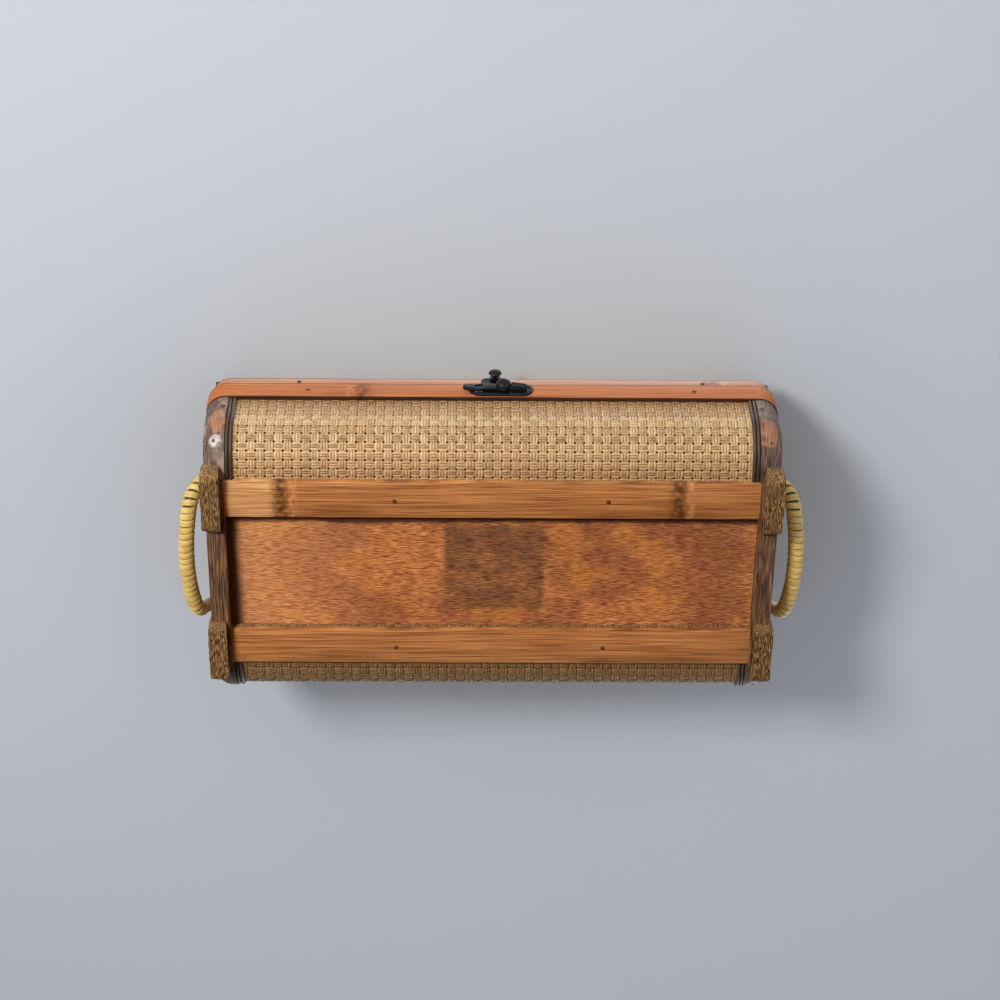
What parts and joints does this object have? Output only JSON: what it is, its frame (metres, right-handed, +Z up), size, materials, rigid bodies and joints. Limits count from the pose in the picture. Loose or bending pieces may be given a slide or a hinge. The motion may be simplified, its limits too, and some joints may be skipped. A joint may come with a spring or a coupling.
{
  "type": "wicker chest",
  "caption": "Low woven cane chest with bamboo trim and runners, wrapped end handles, a shallow domed lid on back hinges and a swing-hook latch at the front.",
  "frame": {"origin": "middle of the footprint, on the surface that the feet stand on", "axes": "+X along the length to the right, +Y from the latch at the front to the hinges at the back, +Z up"},
  "size_m": [0.36, 0.1934, 0.0991],
  "materials": {
    "bamboo": "worn satin split bamboo",
    "red_bamboo": "stained satin split bamboo",
    "dark_bamboo": "dark worn varnish",
    "foot_bamboo": "bare fibrous wood",
    "woven_cane": "natural woven cane",
    "handle_core": "bare rattan",
    "cane_wrap": "glossy cane skin",
    "plywood": "blotchy stain",
    "board": "dark stain",
    "black_metal": "worn black gloss",
    "iron": "dark rusted iron"
  },
  "bodies": {
    "case": {"bottom_panel": "plywood", "rim_hoop": "red_bamboo", "rim_nails": "iron", "band_nails": "iron", "runner_nails": "iron", "hinge_nails": "iron", "front_runner": "bamboo", "back_runner": "bamboo", "front_rail": "bamboo", "back_rail": "bamboo", "front_woven_panel": "woven_cane", "back_woven_panel": "woven_cane", "left_end_board": "board", "right_end_board": "board", "left_handle_core": "handle_core", "right_handle_core": "handle_core", "left_handle_wrap": "cane_wrap", "right_handle_wrap": "cane_wrap", "left_front_band": "dark_bamboo", "left_front_bead": "dark_bamboo", "left_back_band": "dark_bamboo", "left_back_bead": "dark_bamboo", "right_front_band": "dark_bamboo", "right_front_bead": "dark_bamboo", "right_back_band": "dark_bamboo", "right_back_bead": "dark_bamboo", "left_front_foot": "foot_bamboo", "left_back_foot": "foot_bamboo", "right_front_foot": "foot_bamboo", "right_back_foot": "foot_bamboo", "latch_plate": "black_metal", "latch_pins": "black_metal", "latch_pivot": "black_metal", "left_hinge_leaf": "iron", "left_hinge_pin": "iron", "right_hinge_leaf": "iron", "right_hinge_pin": "iron"},
    "lid": {"lid_hoop": "red_bamboo", "lid_woven_panel": "woven_cane", "lid_front_rail": "bamboo", "lid_back_rail": "bamboo", "lid_nails": "iron", "lid_hinge_nails": "iron", "keeper_plate": "black_metal", "keeper_stud": "black_metal", "left_lid_end": "board", "left_lid_band": "dark_bamboo", "left_lid_bead": "dark_bamboo", "left_lid_leaf": "iron", "right_lid_end": "board", "right_lid_band": "dark_bamboo", "right_lid_bead": "dark_bamboo", "right_lid_leaf": "iron"},
    "latch_lever": {"latch_lever": "black_metal"}
  },
  "joints": [
    {"name": "lid_hinge", "type": "hinge", "parent": "case", "child": "lid", "pos_m": [0, 0.0941, 0.0692], "axis": [-1, 0, 0], "range_deg": [0, 195]},
    {"name": "latch_turn", "type": "hinge", "parent": "case", "child": "latch_lever", "pos_m": [0.0062, -0.0934, 0.061], "axis": [0, 1, 0], "range_deg": [-90, 70.6]}
  ]
}
